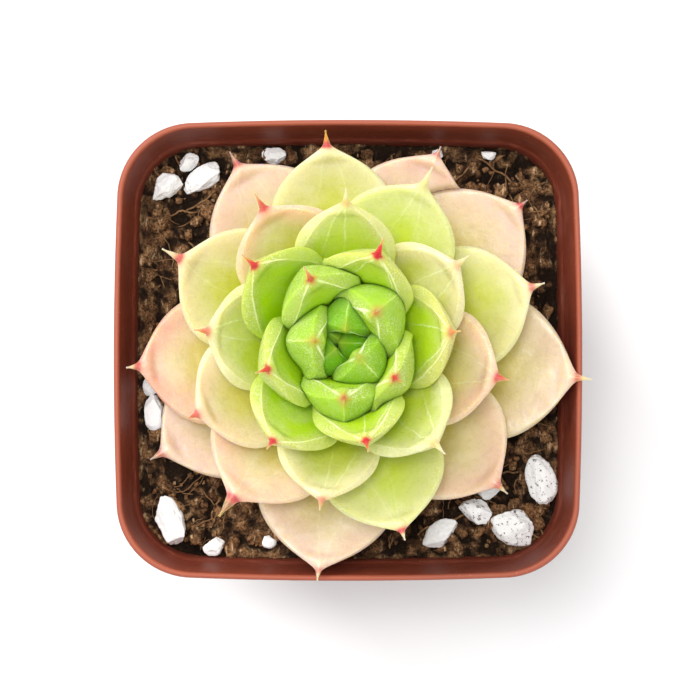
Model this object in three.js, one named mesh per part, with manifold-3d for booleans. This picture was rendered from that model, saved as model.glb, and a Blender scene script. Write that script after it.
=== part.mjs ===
// A potted echeveria: a fleshy rosette of pointed leaves on a short stem, in peaty soil with grains of
// perlite, in a small square plastic nursery pot.
//
// Millimetres, +Z up. The origin is the middle of the pot's flat underside. +X is to the right and +Y
// away from a viewer who looks straight down on the plant.

import * as THREE from "three";
import { mergeVertices } from "three/addons/utils/BufferGeometryUtils.js";
import Module from "manifold-3d";

const wasm = await Module();
wasm.setup();

const radians = THREE.MathUtils.degToRad;
const mix = THREE.MathUtils.lerp;
const { clamp, smoothstep } = THREE.MathUtils;

// Gap between pieces that touch, and the overlap in cubic millimetres from which two leaves touch
const GAP = 0.3;
const TOUCH = 0.002;

const POT_COLOR = 0xb05a42;
const SOIL_COLOR = 0x4a3322;
const GRAIN_COLOR = 0xeceeee;
const STEM_COLOR = 0x8fa045;
const YOUNG_COLOR = 0x9cc832;
const OLD_COLOR = 0xe8d3b4;

// Pot: a square with rounded corners whose sides bow out a little. Each section up the wall gives its
// height, half its side and the radius of its corners.
const POT_OUTSIDE = [
  [0, 24.6, 8.6],
  [1, 25.6, 9],
  [51.6, 32.2, 12],
  [52.4, 33.3, 12.4],
  [61.3, 34.35, 12.8],
  [62, 34.15, 12.6],
];
const POT_INSIDE = [
  [62, 33.45, 12.1],
  [61.4, 33.3, 12],
  [55, 32.3, 11],
  [54.6, 31.8, 10.4],
  [2.6, 25, 7.8],
  [1.6, 24, 7.2],
];
const POT_FLOOR = 1.6;
const POT_BOW = 0.45;
const POT_LENGTHEN = 1.008; // the pot is a little wider to the right than beyond
const CORNER_STEPS = 5;
const SIDE_STEPS = 3;
const DRAIN_RADIUS = 2.8;
const DRAIN_PLACE = 13;

// Soil
const SOIL_TOP = 53.4;
const SOIL_BUMP = 0.45;
const SOIL_FOOT = POT_FLOOR + GAP;
const SOIL_RINGS = [0.92, 0.78, 0.62, 0.46, 0.3];
// Waves of the soil and of the grains: height, and how fast each one turns to the right and beyond
const WAVES = [
  [0.5, 0.43, 0.51],
  [0.3, 0.97, -0.8],
  [0.2, 1.31, 1.12],
];

// Stem, which stands a little off the pot's middle, and its root
const STEM_X = -0.6;
const STEM_Y = 0.5;
const STEM_HEIGHT = 20;
const STEM_FOOT_RADIUS = 5;
const STEM_TOP_RADIUS = 1.2;
const STEM_SIDES = 14;
// Radius, and height over the soil
const STEM_PROFILE = [
  [0, -26],
  [1.1, -25.4],
  [2.5, -13],
  [STEM_FOOT_RADIUS, -2],
  [STEM_FOOT_RADIUS, 0],
  [STEM_TOP_RADIUS, STEM_HEIGHT],
  [0, STEM_HEIGHT + 0.8],
];

// Grains of perlite, half sunk in the soil: how far right of the pot's middle and beyond it, length,
// width, and turn in degrees
const GRAINS = [
  [-27.8, 25.4, 5, 3.6, 45],
  [-24.5, 28.9, 3.4, 2.2, 35],
  [-22.1, 26.2, 6.4, 3.2, 36],
  [-11.4, 29.8, 3.2, 2.6, 0],
  [13.7, 30.1, 1.6, 1.6, 0],
  [21.4, 30, 2.2, 1.4, 0],
  [-30.2, -5.4, 2.8, 2, 90],
  [-29.6, -9.4, 4.8, 3.2, 100],
  [-27, -25.9, 7, 4.4, 112],
  [-20.4, -29.8, 3, 2.4, 20],
  [-12, -29, 2, 1.8, 0],
  [29.4, -19.6, 6.4, 4.2, 100],
  [19.5, -24.3, 4.8, 3.6, 150],
  [21.6, -21.2, 4, 2.4, 20],
  [14.1, -28, 5.2, 3.2, 35],
  [25.6, -26.8, 6.6, 5, 160],
];
const GRAIN_HEIGHT = 0.75; // for its width
const GRAIN_RISE = 0.16; // of its width, from the soil to its middle
const GRAIN_ROUGHNESS = 0.16;
const GRAIN_BUMPS = 9; // how fast the bumps of a grain follow each other

// The rosette turns clockwise from each leaf to the next older one
const FIRST_AZIMUTH = 141.8;
const DIVERGENCE = 138.1;
const LEAF_RISE = 0.48; // from one leaf's root to the next one's, up the stem
const LOWEST_ROOT = SOIL_TOP + 2.4;

// Leaves, from the youngest in the bud to the oldest on the soil. A row is read off the photograph: how
// many degrees the leaf strays from the turn above, how far its tip lies from the stem, the length and
// width of its blade, the length of its sharp point, and how steeply its end stands in degrees.
const LEAVES = [
  [3, 0.6, 6.6, 5, 0.2, 112],
  [-6, -0.8, 7.8, 6.4, 0.2, 112],
  [-6, 1.4, 10, 7.2, 0.3, 110],
  [-4, 1.6, 12, 8.2, 0.3, 108],
  [5, 3.1, 14, 9.6, 0.4, 97],
  [7, 4.3, 15, 10.8, 0.5, 88],
  [9, 6.6, 16, 12.6, 0.9, 84],
  [15, 8.6, 17, 12.4, 0.9, 82],
  [1, 11.8, 19.2, 12.8, 2.4, 67],
  [-14, 9.9, 17.4, 13.6, 0.9, 69],
  [-1, 13.1, 19.5, 13.6, 1.8, 63],
  [6, 15.4, 21.5, 14.2, 2, 60],
  [-2, 15.8, 23.3, 13.4, 1.3, 61],
  [-7, 18.7, 22.8, 14.8, 2.4, 54],
  [-3, 16.6, 20.4, 15, 1.3, 55],
  [4, 18.6, 22.3, 14.8, 1.5, 52],
  [-3, 21.7, 24.1, 14.6, 2, 49],
  [-2, 21.3, 24, 15.4, 2.2, 51],
  [-1, 21.4, 21.9, 15.8, 2, 45],
  [-3, 21.9, 21.7, 15.5, 2.4, 45],
  [2, 24.1, 24.6, 15, 1.8, 43],
  [-1, 25.1, 23, 16.8, 3, 38],
  [4, 24.4, 23, 17.2, 2.2, 39],
  [0, 25.1, 23.1, 17.2, 1.8, 36],
  [-4, 28.6, 25.3, 17.8, 3, 33],
  [-2, 29.7, 27.6, 18.4, 1.8, 33],
  [1, 30, 25.4, 18.4, 3.6, 29],
  [4, 30.7, 26.9, 18.4, 2.4, 29],
  [-1, 30.9, 26, 18.8, 3, 27],
  [-2, 31.9, 26.9, 18.4, 2.6, 24],
  [-1, 32.6, 27.8, 19.2, 2.2, 24],
  [5, 32.5, 27.4, 19.4, 2, 22],
  [-4, 35.2, 30.2, 20.5, 1.4, 21],
  [-1, 35.1, 29.9, 21, 1.8, 20],
  [-6, 34.2, 27.8, 20, 2.6, 18],
  [4, 37.2, 31.3, 21.8, 2, 17],
  [0, 33.9, 27.6, 18.8, 2.2, 16],
  [-8, 33.2, 28.2, 19, 1.4, 20],
];

// Thickness of a blade as a share of its width
const THICKNESS_OLD = 0.23;
const THICKNESS_YOUNG = 0.36;
const THICKNESS_BUD = 0.42;
// How far the sides of the upper face rise, as a share of half the width
const CUP_OLD = 0.09;
const CUP_YOUNG = 0.14;
const CUP_BUD = 0.3;
// The upper face of a leaf round the bud swells by this share of the thickness
const PLUMP = 0.4;
// Youth at which a leaf belongs round the bud, and in it, where 1 is the youngest
const ROUND_BUD = [0.72, 0.84];
const IN_BUD = [0.88, 0.93];

// Outline of a blade and of its sharp point
const WIDEST_AT = 0.6;
const ROOT_WIDTH = 0.3;
const TIP_POWER = 2.1;
const POINT_RADIUS = 0.55;
const POINT_FOOT = 1.6;
const POINT_BLEND = 1.7;
const POINT_HEIGHT = 0.8; // for its width
const POINT_LEAST = 0.12; // of its radius, at the very end

// Section of a blade: its upper face ends in a ridge, and a rounded wall falls from there to the edge
const RIDGE_OLD = 0.9;
const RIDGE_YOUNG = 0.78;
const EDGE_DROP = 0.28;
const BACK_ROUND = 0.65;
const BACK_POWER_ROOT = 2.2;
const BACK_POWER_END = 1.3;
const ROOT_DEPTH = 0.34;
const DEEPEST_AT = 0.52;
const END_POWER = 3;

const BLADE_STATIONS = [0, 0.17, 0.34, 0.5, 0.65, 0.79, 0.9, 0.97, 1];
const POINT_STATION = 0.45;
const TOP_POINTS = [-1, -0.5, 0, 0.5, 1];
const BACK_POINTS = [1, 0.75, 0, -0.75, -1];

function leafShape(index) {
  const [stray, reach, length, width, point, steepness] = LEAVES[index];
  const young = 1 - index / (LEAVES.length - 1);
  const heading = radians(FIRST_AZIMUTH - DIVERGENCE * index + stray);
  const rootZ = LOWEST_ROOT + (LEAVES.length - 1 - index) * LEAF_RISE;
  const start = stemRadius(rootZ) + GAP;
  const to = radians(steepness);
  const curl = bendFor((reach - start - point * Math.cos(to)) / length, to);
  const root = new THREE.Vector3(
    STEM_X + start * Math.cos(heading),
    STEM_Y + start * Math.sin(heading),
    rootZ,
  );
  const roundBud = smoothstep(young, ...ROUND_BUD);
  const thickness = width * mix(mix(THICKNESS_OLD, THICKNESS_YOUNG, young), THICKNESS_BUD, roundBud);
  const plump = PLUMP * roundBud * (1 - smoothstep(young, ...IN_BUD));
  const cup = mix(mix(CUP_OLD, CUP_YOUNG, young), CUP_BUD, roundBud);
  const ridge = mix(RIDGE_OLD, RIDGE_YOUNG, young);
  return { root, heading, from: to - curl, to, curl, length, width, point, thickness, cup, plump, ridge };
}

// The bend of an arc that ends at the steepness to, and whose flat reach is this share of its length
function bendFor(share, to) {
  let least = radians(-60);
  let most = 1.3 * to;
  for (let step = 0; step < 40; step++) {
    const bend = (least + most) / 2;
    const flat = (Math.sin(to) - Math.sin(to - bend)) / (Math.abs(bend) < 1e-6 ? 1e-6 : bend);
    if (flat < share) least = bend;
    else most = bend;
  }
  return Math.abs(most) < 1e-3 ? 1e-3 : most;
}

// A point of the leaf at the share u of the blade's length, a way across and a height over its middle
function leafPoint(shape, u, across, height) {
  const { from, curl, length, root, heading } = shape;
  const blade = Math.min(u, 1);
  const angle = from + curl * blade;
  const past = (u - blade) * length;
  const bend = length / curl;
  const out = bend * (Math.sin(angle) - Math.sin(from)) + past * Math.cos(angle) - height * Math.sin(angle);
  const up = bend * (Math.cos(from) - Math.cos(angle)) + past * Math.sin(angle) + height * Math.cos(angle);
  const c = Math.cos(heading);
  const s = Math.sin(heading);
  return new THREE.Vector3(root.x + c * out - s * across, root.y + s * out + c * across, root.z + up);
}

function blend(a, b) {
  return (a ** POINT_BLEND + b ** POINT_BLEND) ** (1 / POINT_BLEND);
}

function pointRadius(shape, u) {
  const left = ((1 - u) * shape.length + shape.point) / (shape.point + POINT_FOOT);
  return left >= 1 ? 0 : POINT_RADIUS * Math.max(left, POINT_LEAST);
}

function halfWidth(shape, u) {
  const before = mix(ROOT_WIDTH, 1, Math.sin((Math.PI / 2) * Math.min(u / WIDEST_AT, 1)));
  const past = clamp((u - WIDEST_AT) / (1 - WIDEST_AT), 0, 1);
  return (shape.width / 2) * (past > 0 ? 1 - past ** TIP_POWER : before);
}

function depth(shape, u) {
  const before = mix(ROOT_DEPTH, 1, Math.sin((Math.PI / 2) * Math.min(u / DEEPEST_AT, 1)));
  const past = clamp((u - DEEPEST_AT) / (1 - DEEPEST_AT), 0, 1);
  return shape.thickness * (past > 0 ? 1 - past ** END_POWER : before);
}

function leafRing(shape, u) {
  const spine = pointRadius(shape, u);
  const half = halfWidth(shape, u);
  const deep = depth(shape, u);
  const wide = blend(half, spine);
  const tall = POINT_HEIGHT * spine;
  const plump = shape.plump * deep;
  const edge = shape.cup * half - EDGE_DROP * deep;
  const power = mix(BACK_POWER_ROOT, BACK_POWER_END, smoothstep(u, 0.5, 1));
  const top = TOP_POINTS.map((v) => {
    const across = v * shape.ridge;
    const z = shape.cup * half * v * v + (plump + tall) * (1 - v * v);
    return leafPoint(shape, u, across * wide, z);
  });
  const back = BACK_POINTS.map((v) => {
    const fall = (1 - Math.abs(v) ** power) ** BACK_ROUND;
    return leafPoint(shape, u, v * wide, edge - (blend(deep - plump, tall) + edge) * fall);
  });
  return [...top, ...back].reverse();
}

// A closed surface through rings of points with the same count, each end drawn together in one point
function loft(rings, startPoint, endPoint) {
  const count = rings[0].length;
  const points = rings.flat();
  const faces = [];
  for (let r = 0; r + 1 < rings.length; r++) {
    for (let i = 0; i < count; i++) {
      const a = r * count + i;
      const b = r * count + ((i + 1) % count);
      faces.push([a, b, a + count], [b, b + count, a + count]);
    }
  }
  const start = points.push(startPoint) - 1;
  const end = points.push(endPoint) - 1;
  const last = (rings.length - 1) * count;
  for (let i = 0; i < count; i++) {
    const next = (i + 1) % count;
    faces.push([start, next, i], [end, last + i, last + next]);
  }
  return solidFrom(points, faces);
}

function solidFrom(points, faces) {
  const vertProperties = new Float32Array(points.flatMap((p) => p.toArray()));
  const triVerts = new Uint32Array(faces.flat());
  return new wasm.Manifold(new wasm.Mesh({ numProp: 3, vertProperties, triVerts }));
}

function leafSolid(index) {
  const shape = leafShape(index);
  const pointShare = shape.point / shape.length;
  const stations = [...BLADE_STATIONS, 1 + POINT_STATION * pointShare];
  const rings = stations.map((u) => leafRing(shape, u));
  const foot = leafPoint(shape, 0, 0, -0.5 * depth(shape, 0));
  return loft(rings, foot, leafPoint(shape, 1 + pointShare, 0, 0));
}

// The outline of the pot at one height, anticlockwise along each side and round the corner at its end
function potOutline([z, half, corner], shrink = 0) {
  const side = half - shrink;
  const radius = Math.max(corner - shrink, 1);
  const straight = side - radius;
  const points = [];
  for (let quarter = 0; quarter < 4; quarter++) {
    const turn = (Math.PI / 2) * quarter;
    const place = (x, y) => {
      const bow = POT_BOW * (z / POT_OUTSIDE.at(-1)[0]) * Math.max(0, 1 - (y / straight) ** 2);
      const out = Math.abs(y) <= straight ? x + bow : x;
      const c = Math.cos(turn);
      const s = Math.sin(turn);
      points.push(new THREE.Vector3((c * out - s * y) * POT_LENGTHEN, (s * out + c * y) / POT_LENGTHEN, z));
    };
    for (let step = 0; step < SIDE_STEPS; step++) {
      place(side, straight * ((2 * step) / SIDE_STEPS - 1));
    }
    for (let step = 0; step < CORNER_STEPS; step++) {
      const angle = (Math.PI / 2) * (step / CORNER_STEPS);
      place(straight + radius * Math.cos(angle), straight + radius * Math.sin(angle));
    }
  }
  return points;
}

function potSolid() {
  const sections = [...POT_OUTSIDE, ...POT_INSIDE];
  const rings = sections.map((section) => potOutline(section));
  const wall = loft(rings, new THREE.Vector3(0, 0, 0), new THREE.Vector3(0, 0, POT_FLOOR));
  const drain = new THREE.CylinderGeometry(DRAIN_RADIUS, DRAIN_RADIUS, 4 * POT_FLOOR, 14);
  drain.rotateX(Math.PI / 2);
  return [-1, 1].reduce((pot, right) => {
    return [-1, 1].reduce((rest, beyond) => {
      const hole = drain.clone().translate(right * DRAIN_PLACE, beyond * DRAIN_PLACE, 0);
      return rest.subtract(solidOf(hole));
    }, pot);
  }, wall);
}

// A smooth, bumpy height between -1 and 1
function bump(x, y) {
  const heights = WAVES.map(([height, right, beyond]) => height * Math.sin(right * x + beyond * y + 1));
  return heights.reduce((sum, height) => sum + height, 0);
}

// The outline of the soil at one height, clear of the pot's inner wall
function soilOutline(z) {
  const inside = [...POT_INSIDE].reverse();
  const upper = Math.max(inside.findIndex((section) => section[0] >= z), 1);
  const [low, high] = [inside[upper - 1], inside[upper]];
  const share = (z - low[0]) / (high[0] - low[0]);
  return potOutline([z, mix(low[1], high[1], share), mix(low[2], high[2], share)], GAP);
}

function soilSolid() {
  const rim = soilOutline(SOIL_TOP);
  const stem = new THREE.Vector3(STEM_X, STEM_Y, 0);
  const surface = SOIL_RINGS.map((share) => {
    return rim.map((edge) => {
      const point = new THREE.Vector3().lerpVectors(stem, edge, share);
      point.z = SOIL_TOP + SOIL_BUMP * bump(point.x, point.y);
      return point;
    });
  });
  const rings = [soilOutline(SOIL_FOOT), soilOutline(SOIL_FOOT + 1), rim, ...surface];
  const ground = loft(rings, new THREE.Vector3(0, 0, SOIL_FOOT), new THREE.Vector3(STEM_X, STEM_Y, SOIL_TOP));
  const cut = [stemSolid(GAP), ...GRAINS.map((_, index) => grainSolid(index, GAP))];
  return cut.reduce((rest, piece) => rest.subtract(piece), ground);
}

function stemRadius(z) {
  return mix(STEM_FOOT_RADIUS, STEM_TOP_RADIUS, clamp((z - SOIL_TOP) / STEM_HEIGHT, 0, 1));
}

function stemSolid(grow = 0) {
  const last = STEM_PROFILE.length - 1;
  const profile = STEM_PROFILE.map(([radius, z], index) => {
    const end = index === 0 ? -grow : index === last ? grow : 0;
    return new THREE.Vector2(radius > 0 ? radius + grow : 0, z + end);
  });
  const stem = new THREE.LatheGeometry(profile, STEM_SIDES);
  return solidOf(stem.rotateX(Math.PI / 2).translate(STEM_X, STEM_Y, SOIL_TOP));
}

function grainSolid(index, grow = 0) {
  const [right, beyond, long, wide, turn] = GRAINS[index];
  const grain = new THREE.IcosahedronGeometry(1, 1);
  grain.deleteAttribute("normal");
  grain.deleteAttribute("uv");
  const merged = mergeVertices(grain);
  const at = merged.getAttribute("position");
  const point = new THREE.Vector3();
  for (let i = 0; i < at.count; i++) {
    point.fromBufferAttribute(at, i);
    const along = GRAIN_BUMPS * (point.x - point.z) + 5 * index;
    const aside = GRAIN_BUMPS * (point.y + point.z) - 3 * index;
    const rough = 1 + GRAIN_ROUGHNESS * bump(along, aside);
    point.multiply(new THREE.Vector3(long / 2, wide / 2, (wide / 2) * GRAIN_HEIGHT)).multiplyScalar(rough);
    point.setLength(point.length() + grow);
    at.setXYZ(i, point.x, point.y, point.z);
  }
  const height = SOIL_TOP + SOIL_BUMP * bump(right, beyond) + GRAIN_RISE * wide;
  return solidOf(merged.rotateZ(radians(turn)).translate(right, beyond, height));
}

function solidOf(geometry) {
  const bare = geometry.clone();
  bare.deleteAttribute("normal");
  bare.deleteAttribute("uv");
  const merged = mergeVertices(bare, 1e-4);
  return new wasm.Manifold(
    new wasm.Mesh({
      numProp: 3,
      vertProperties: merged.getAttribute("position").array,
      triVerts: new Uint32Array(merged.index.array),
    }),
  );
}

function geometryOf(solid) {
  const { vertProperties, triVerts, numProp } = solid.getMesh();
  const count = vertProperties.length / numProp;
  const positions = new Float32Array(count * 3);
  for (let i = 0; i < count; i++) {
    positions.set(vertProperties.subarray(i * numProp, i * numProp + 3), i * 3);
  }
  const geometry = new THREE.BufferGeometry();
  geometry.setAttribute("position", new THREE.BufferAttribute(positions, 3));
  geometry.setIndex(new THREE.BufferAttribute(triVerts, 1));
  return geometry;
}

// The solid with its surface pushed out by the gap, which cuts a neighbour clear of it
function grown(solid) {
  const geometry = geometryOf(solid);
  geometry.computeVertexNormals();
  const at = geometry.getAttribute("position");
  const normal = geometry.getAttribute("normal");
  for (let i = 0; i < at.count; i++) {
    at.setXYZ(
      i,
      at.getX(i) + GAP * normal.getX(i),
      at.getY(i) + GAP * normal.getY(i),
      at.getZ(i) + GAP * normal.getZ(i),
    );
  }
  return solidOf(geometry);
}

// Each leaf stands clear of the younger leaves that press on it from above
function rosette() {
  const leaves = LEAVES.map((_, index) => leafSolid(index));
  const room = leaves.map(grown);
  const stemRoom = stemSolid(GAP);
  return leaves.map((leaf, index) => {
    let left = leaf.subtract(stemRoom);
    for (let younger = 0; younger < index; younger++) {
      if (leaf.intersect(leaves[younger]).volume() > TOUCH) left = left.subtract(room[younger]);
    }
    return whole(left);
  });
}

// The largest body of a solid that a cut has left in several
function whole(solid) {
  return solid.decompose().sort((a, b) => b.volume() - a.volume())[0];
}

function numbered(name, index) {
  return name + "_" + String(index + 1).padStart(2, "0");
}

const group = new THREE.Group();

function addNode(solid, name, color, roughness) {
  const material = new THREE.MeshStandardMaterial({ color, roughness, metalness: 0 });
  const mesh = new THREE.Mesh(geometryOf(solid), material);
  mesh.name = name;
  group.add(mesh);
}

addNode(potSolid(), "pot", POT_COLOR, 0.45);
addNode(soilSolid(), "soil", SOIL_COLOR, 1);
addNode(stemSolid(), "stem", STEM_COLOR, 0.7);
rosette().forEach((leaf, index) => {
  const age = index / (LEAVES.length - 1);
  const color = new THREE.Color(YOUNG_COLOR).lerp(new THREE.Color(OLD_COLOR), smoothstep(age, 0.1, 1));
  addNode(leaf, numbered("leaf", index), color, 0.45);
});
GRAINS.forEach((_, index) => addNode(grainSolid(index), numbered("perlite", index), GRAIN_COLOR, 0.95));

export default group;
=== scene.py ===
# A potted echeveria seen from straight above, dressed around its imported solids.
#
# Sizes are in millimetres until a mesh is made. The origin is the middle of the pot's flat underside,
# +X is to the right in the photograph and +Y is up in it.

import math
import random

import bmesh
import bpy
import numpy as np
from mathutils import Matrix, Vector, noise
from mathutils.bvhtree import BVHTree


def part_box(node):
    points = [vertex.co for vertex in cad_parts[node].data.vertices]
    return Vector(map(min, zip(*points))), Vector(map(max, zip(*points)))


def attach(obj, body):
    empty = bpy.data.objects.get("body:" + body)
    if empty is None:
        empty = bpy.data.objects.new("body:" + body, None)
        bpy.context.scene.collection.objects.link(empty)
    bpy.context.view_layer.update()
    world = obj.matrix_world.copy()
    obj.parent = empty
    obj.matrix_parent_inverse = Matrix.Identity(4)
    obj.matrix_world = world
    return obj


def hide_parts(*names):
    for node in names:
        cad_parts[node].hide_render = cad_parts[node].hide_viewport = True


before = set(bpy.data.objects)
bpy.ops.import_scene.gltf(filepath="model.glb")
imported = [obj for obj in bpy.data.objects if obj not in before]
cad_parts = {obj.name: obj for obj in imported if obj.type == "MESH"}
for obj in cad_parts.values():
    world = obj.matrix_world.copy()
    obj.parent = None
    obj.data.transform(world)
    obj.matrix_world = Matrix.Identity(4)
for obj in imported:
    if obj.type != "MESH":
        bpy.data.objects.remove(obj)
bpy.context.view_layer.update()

MM = 0.001
SEED = 11

# Camera of the photograph
RIM_HEIGHT = 62.0
CAMERA_DISTANCE = 380.0
CAMERA_TILT = math.radians(1.5)
PHOTO_SIZE = 700
MM_PER_PIXEL = 0.1496  # at the rim
RIM_CENTRE_PIXEL = (348.0, 349.7)
SENSOR = 36.0

# Rosette, as in the solids
GAP = 0.3
SOIL_TOP = 53.4
STEM_X = -0.6
STEM_Y = 0.5
STEM_HEIGHT = 20.0
STEM_FOOT_RADIUS = 5.0
STEM_TOP_RADIUS = 1.2
FIRST_AZIMUTH = 141.8
DIVERGENCE = 138.1
LEAF_RISE = 0.48
LOWEST_ROOT = SOIL_TOP + 2.4

# Leaves from the youngest to the oldest: degrees off the spiral's turn, reach, blade length, width,
# length of the sharp point, steepness of the end in degrees
LEAVES = [
    (3, 0.6, 6.6, 5, 0.2, 112),
    (-6, -0.8, 7.8, 6.4, 0.2, 112),
    (-6, 1.4, 10, 7.2, 0.3, 110),
    (-4, 1.6, 12, 8.2, 0.3, 108),
    (5, 3.1, 14, 9.6, 0.4, 97),
    (7, 4.3, 15, 10.8, 0.5, 88),
    (9, 6.6, 16, 12.6, 0.9, 84),
    (15, 8.6, 17, 12.4, 0.9, 82),
    (1, 11.8, 19.2, 12.8, 2.4, 67),
    (-14, 9.9, 17.4, 13.6, 0.9, 69),
    (-1, 13.1, 19.5, 13.6, 1.8, 63),
    (6, 15.4, 21.5, 14.2, 2, 60),
    (-2, 15.8, 23.3, 13.4, 1.3, 61),
    (-7, 18.7, 22.8, 14.8, 2.4, 54),
    (-3, 16.6, 20.4, 15, 1.3, 55),
    (4, 18.6, 22.3, 14.8, 1.5, 52),
    (-3, 21.7, 24.1, 14.6, 2, 49),
    (-2, 21.3, 24, 15.4, 2.2, 51),
    (-1, 21.4, 21.9, 15.8, 2, 45),
    (-3, 21.9, 21.7, 15.5, 2.4, 45),
    (2, 24.1, 24.6, 15, 1.8, 43),
    (-1, 25.1, 23, 16.8, 3, 38),
    (4, 24.4, 23, 17.2, 2.2, 39),
    (0, 25.1, 23.1, 17.2, 1.8, 36),
    (-4, 28.6, 25.3, 17.8, 3, 33),
    (-2, 29.7, 27.6, 18.4, 1.8, 33),
    (1, 30, 25.4, 18.4, 3.6, 29),
    (4, 30.7, 26.9, 18.4, 2.4, 29),
    (-1, 30.9, 26, 18.8, 3, 27),
    (-2, 31.9, 26.9, 18.4, 2.6, 24),
    (-1, 32.6, 27.8, 19.2, 2.2, 24),
    (5, 32.5, 27.4, 19.4, 2, 22),
    (-4, 35.2, 30.2, 20.5, 1.4, 21),
    (-1, 35.1, 29.9, 21, 1.8, 20),
    (-6, 34.2, 27.8, 20, 2.6, 18),
    (4, 37.2, 31.3, 21.8, 2, 17),
    (0, 33.9, 27.6, 18.8, 2.2, 16),
    (-8, 33.2, 28.2, 19, 1.4, 20),
]

# Form of a leaf. Its youth goes from 0 for the oldest to 1 for the youngest. A pair of limits says
# where a change starts and where it is complete, in youth or as a share of the blade from its root.
THICKNESS = (0.23, 0.36, 0.56)  # for the width: old, young, in the bud
CUP = (0.09, 0.14, 0.3)  # how far margins rise, for half the width: old, young, in the bud
PLUMP = 0.22  # how far a face swells in the bud, for the leaf's depth
BUD_YOUTH = (0.72, 0.84)
INNERMOST_YOUTH = (0.88, 0.93)
WIDEST_AT = 0.6
ROOT_WIDTH = 0.3
TIP_POWER = (2.1, 1.7)  # the outline of the blade's end: grown, in the bud
TIP_YOUTH = (0.66, 0.84)
DRAWN_OUT = 0.45  # how far the blade narrows at its sharp point
DRAWN_LENGTH = 1.7
ROOT_DEPTH = 0.34
DEEPEST_AT = 0.52
END_POWER = 3
EDGE_DROP = (0.12, 0.28)  # the margin under the ridge, for the depth: at the root, at the end
EDGE_DROP_AT = (0.45, 0.85)
RIDGE_ROOT = 0.95  # where the ridge beside the margin lies, for half the width
RIDGE_END = (0.93, 0.6)  # old, young
RIDGE_YOUTH = (0.3, 0.85)
RIDGE_AT = (0.42, 0.8)
ROLLED = 0.5  # how far the ridge of an old leaf is rounded over
ROLLED_YOUTH = (0.3, 0.65)
ROLLED_AT = (0.2, 0.6)
WALL_BULGE = (1.35, 1.1)  # old, young
BACK_ROUND = (0.65, 0.95)  # old, young
BACK_POWER_ROOT = 2.2
BACK_POWER_END = (1.3, 1.08)  # old, young
BACK_YOUTH = (0.4, 0.8)
BACK_AT = (0.5, 0.95)

# Search for a blade's bend
BEND_BACK = math.radians(-60)
BEND_ON = 1.3  # times the steepness of its end
BEND_ROUNDS = 40
LEAST_TRIED = 1e-6
LEAST_BEND = 1e-3

# Sharp point of a leaf
POINT_RADIUS = 1.05
# By leaf: times the point's radius
POINT_STOUTER = {28: 1.45, 22: 1.15, 31: 1.15, 36: 1.15}
POINT_FOOT = 2.2  # the point's swelling starts this far down the blade
POINT_FOOT_FADE = (0.75, 1.25)
POINT_BLEND = 1.7
POINT_HEIGHT = 0.8
POINT_LEAST = 0.12
POINT_TURN = (12, 66)  # degrees a point bends outwards, on a flat and on a steep leaf
POINT_TURN_STEEP = (30, 68)
POINT_OLD = 0.78  # what an old leaf's point keeps of the solid's length
POINT_OLD_YOUTH = (0.55, 0.4)
# By leaf: millimetres added to the point
POINT_LONGER = {35: 0.44, 28: 0.9, 9: 0.5, 11: 0.8, 12: 0.5, 7: 0.2, 14: 0.1, 10: 0.2, 24: 0.5}

# Points of a fine leaf
OLD_FROM = 15  # the first leaf with an old skin
STEP = 0.36  # between points of a leaf
LEAST_STEPS = 24
STEPS_TO_TIP = 1.25  # over 1, rings stand closer at the tip
WALL_POINTS = 7
POINT_STEPS = 12
BACK_COARSE_FROM = 16
BACK_COARSE = 0.6
LEAST_BACK = 16
LAST_TIP = 0.3  # the closing point, as a share of the last step
SWELL = (0.10, 0.21)  # height of the unevenness and how fast it changes
RIPPLE = (0.03, 0.8)
UNEVEN_FROM_TIP = (-0.2, 2.5)
FAR = 9.0  # millimetres from a line, for a point on another face
FACE_LINE_REACH = 8.5  # lines pressed into a face stay this near its middle

# A leaf gives way under a younger one
LEAST_WALL = 0.8
ABOVE = 3.0  # a point this far over a younger leaf belongs under it
CLEAR = 0.03
LOOK_AHEAD = 12.0
PAST_FACE = 0.01
SPREAD_ROUNDS = 3

# For each leaf: how green it is, from cream to the lime of the bud, how pink its end is, how red the
# foot of its sharp point is and how cream the point's end is
LOOKS = [
    (1.3, 0, 0, 0), (1.3, 0, 0, 0), (1.28, 0, 0, 0), (1.2, 0, 0.1, 0), (1.08, 0, 0.15, 0),
    (1.0, 0, 0.5, 0), (1.0, 0, 0.7, 0), (1.0, 0, 0.8, 0), (0.97, 0, 0.9, 0.1), (0.96, 0.06, 1, 0),
    (0.95, 0.06, 1, 0), (0.92, 0.12, 1.1, 0), (0.93, 0.1, 1, 0), (0.97, 0.1, 1, 0),
    (0.88, 0.2, 0.5, 0), (0.93, 0.15, 1, 0), (0.76, 0.15, 0.15, 0.8), (0.68, 0.05, 0.15, 0.9),
    (0.66, 0.2, 0.7, 0), (0.56, 0.2, 0.15, 0.9), (0.62, 0.25, 0.6, 0), (0.5, 0.7, 0.9, 0),
    (0.34, 0.6, 1, 0), (0.42, 0.4, 1, 0), (0.72, 0.05, 0.05, 1), (0.7, 0.1, 1, 0.9),
    (0.56, 0.25, 1.3, 0.9), (0.62, 0.15, 1, 0.9), (0.25, 0.6, 1.2, 0.5), (0.56, 0.1, 1.3, 0.2),
    (0.22, 0.5, 0.6, 0.9), (0.3, 1, 1.2, 0.8), (0.12, 0.4, 1, 0.3), (0.14, 0.4, 0.6, 0.9),
    (0.12, 0.55, 0.9, 0.4), (0.3, 0.3, 0.6, 0.9), (0.1, 0.4, 0.5, 0.4), (0.05, 0.6, 0.8, 0.4),
]
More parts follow.
